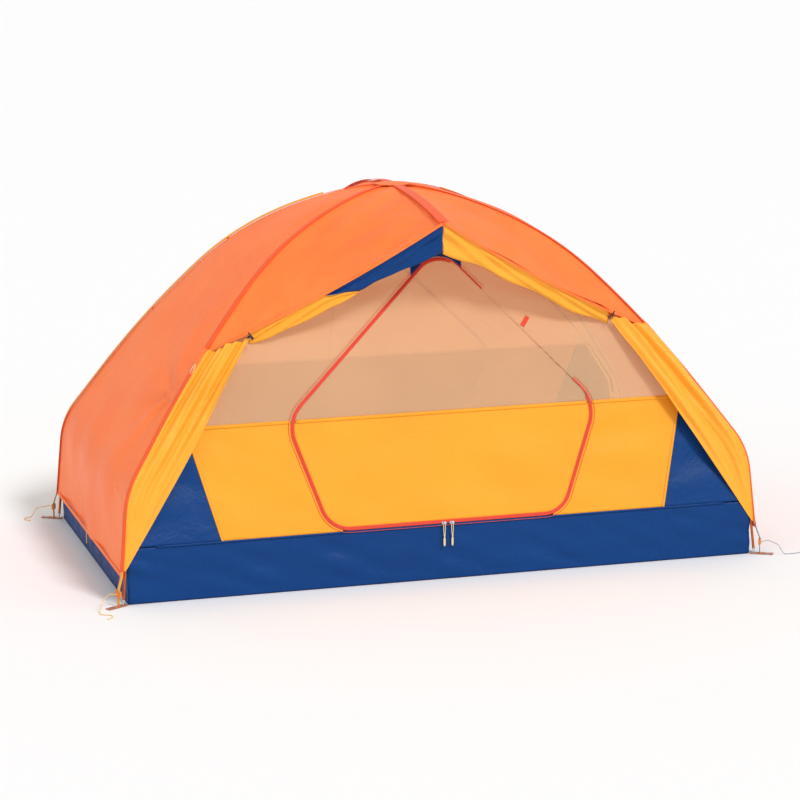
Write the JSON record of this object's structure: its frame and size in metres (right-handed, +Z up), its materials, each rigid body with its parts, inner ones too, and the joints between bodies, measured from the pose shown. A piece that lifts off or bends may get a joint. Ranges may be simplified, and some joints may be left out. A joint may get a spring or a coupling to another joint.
{
  "type": "dome tent on poles",
  "caption": "Free-standing dome tent on bent poles, with a mesh inner tent, zipped doors, a tub floor and a rain fly tied open at the front.",
  "frame": {"origin": "on the ground at the centre of the floor", "axes": "+X along the long side, -Y towards the open front door, +Z up"},
  "size_m": [2.5515, 1.9489, 1.2701],
  "materials": {
    "orange_cloth": "coated ripstop, slightly glossy",
    "yellow_cloth": "coated ripstop, slightly glossy",
    "blue_cloth": "coated, semi-matt",
    "mesh_cloth": "fine translucent mesh",
    "red_tape": "woven zip tape",
    "rust_webbing": "woven webbing",
    "yellow_webbing": "woven webbing",
    "navy_webbing": "woven webbing",
    "cream_cord": "braided cord",
    "grey_cord": "braided cord",
    "elastic": "braided elastic",
    "pole_metal": "anodised, satin",
    "elbow_metal": "anodised, satin",
    "bare_metal": "satin",
    "plated_metal": "bright",
    "black_plastic": "moulded",
    "amber_plastic": "moulded"
  },
  "bodies": {
    "tent": {"floor_sheet": "blue_cloth", "tub_walls": "blue_cloth", "corner_gussets": "blue_cloth", "lower_wall_panels": "yellow_cloth", "wall_mesh_panels": "mesh_cloth", "end_mesh_left": "mesh_cloth", "end_mesh_right": "mesh_cloth", "roof_mesh": "mesh_cloth", "peak_patches": "blue_cloth", "wall_zip_tapes": "red_tape", "door_toggle_tabs": "red_tape", "main_pole_a_sections": "pole_metal", "main_pole_b_sections": "pole_metal", "elbow_sections": "elbow_metal", "ridge_pole_sections": "pole_metal", "pole_ferrules": "bare_metal", "shock_cords": "elastic", "pole_tips": "bare_metal", "pole_clips": "black_plastic", "peak_clip": "black_plastic", "corner_tabs": "rust_webbing", "eyelets": "plated_metal", "fly_end_left": "orange_cloth", "fly_end_right": "orange_cloth", "fly_awning_front": "orange_cloth", "fly_awning_rear": "orange_cloth", "front_flap_left": "yellow_cloth", "front_flap_right": "yellow_cloth", "front_flap_rolls": "yellow_cloth", "front_vent_panel": "blue_cloth", "rear_shoulder_panels": "yellow_cloth", "corner_straps_left": "yellow_webbing", "corner_straps_right": "navy_webbing", "ladder_locks": "amber_plastic", "tie_toggles": "black_plastic", "hem_loops": "yellow_webbing", "guy_cord_front_left": "cream_cord", "guy_cord_rear_left": "yellow_webbing", "guy_cord_front_right": "grey_cord"},
    "front_door": {"front_door_lower": "yellow_cloth", "front_door_mesh": "mesh_cloth", "front_door_zip_tape": "red_tape"},
    "rear_door": {"rear_door_lower": "yellow_cloth", "rear_door_mesh": "mesh_cloth", "rear_door_zip_tape": "red_tape"},
    "rear_flap_left": {"rear_vestibule_left": "yellow_cloth", "rear_fly_zip_tape": "rust_webbing"},
    "rear_flap_right": {"rear_vestibule_right": "yellow_cloth"},
    "rear_fly_slider": {"rear_fly_slider": "black_plastic"},
    "front_slider_left": {"front_slider_left": "plated_metal"},
    "front_pull_left": {"front_pull_left": "cream_cord"},
    "front_slider_right": {"front_slider_right": "plated_metal"},
    "front_pull_right": {"front_pull_right": "cream_cord"},
    "rear_slider_left": {"rear_slider_left": "plated_metal"},
    "rear_pull_left": {"rear_pull_left": "cream_cord"},
    "rear_slider_right": {"rear_slider_right": "plated_metal"},
    "rear_pull_right": {"rear_pull_right": "cream_cord"}
  },
  "joints": [
    {"name": "front_door_swing", "type": "hinge", "parent": "tent", "child": "front_door", "pos_m": [0.51351, -0.5233, 0.60813], "axis": [-0.6753, 0.2008, 0.7097], "range_deg": [0, 45]},
    {"name": "rear_door_swing", "type": "hinge", "parent": "tent", "child": "rear_door", "pos_m": [-0.51351, 0.5233, 0.60813], "axis": [0.6753, -0.2008, 0.7097], "range_deg": [0, 7]},
    {"name": "front_slider_left_run", "type": "slide", "parent": "tent", "child": "front_slider_left", "axis": [-1, 0, 0], "range_m": [0, 0.3]},
    {"name": "front_pull_left_swing", "type": "hinge", "parent": "front_slider_left", "child": "front_pull_left", "pos_m": [-0.014, -0.65114, 0.19823], "axis": [-1, 0, 0], "range_deg": [0, 80]},
    {"name": "front_slider_right_run", "type": "slide", "parent": "tent", "child": "front_slider_right", "axis": [1, 0, 0], "range_m": [0, 0.3]},
    {"name": "front_pull_right_swing", "type": "hinge", "parent": "front_slider_right", "child": "front_pull_right", "pos_m": [0.014, -0.65114, 0.19823], "axis": [-1, 0, 0], "range_deg": [0, 80]},
    {"name": "rear_slider_left_run", "type": "slide", "parent": "tent", "child": "rear_slider_left", "axis": [1, 0, 0], "range_m": [0, 0.3]},
    {"name": "rear_pull_left_swing", "type": "hinge", "parent": "rear_slider_left", "child": "rear_pull_left", "pos_m": [0.014, 0.65114, 0.19823], "axis": [1, 0, 0], "range_deg": [0, 80]},
    {"name": "rear_slider_right_run", "type": "slide", "parent": "tent", "child": "rear_slider_right", "axis": [-1, 0, 0], "range_m": [0, 0.3]},
    {"name": "rear_pull_right_swing", "type": "hinge", "parent": "rear_slider_right", "child": "rear_pull_right", "pos_m": [-0.014, 0.65114, 0.19823], "axis": [1, 0, 0], "range_deg": [0, 80]},
    {"name": "rear_flap_left_swing", "type": "hinge", "parent": "tent", "child": "rear_flap_left", "pos_m": [0, 0.62872, 1.16537], "axis": [0.7216, -0.0153, 0.6921], "range_deg": [0, 60]},
    {"name": "rear_flap_right_swing", "type": "hinge", "parent": "tent", "child": "rear_flap_right", "pos_m": [0, 0.62872, 1.16537], "axis": [0.7216, 0.0153, -0.6921], "range_deg": [0, 60]},
    {"name": "rear_fly_zip_run", "type": "slide", "parent": "rear_flap_left", "child": "rear_fly_slider", "axis": [0, -0.4218, 0.9067], "range_m": [0, 1.1]}
  ]
}
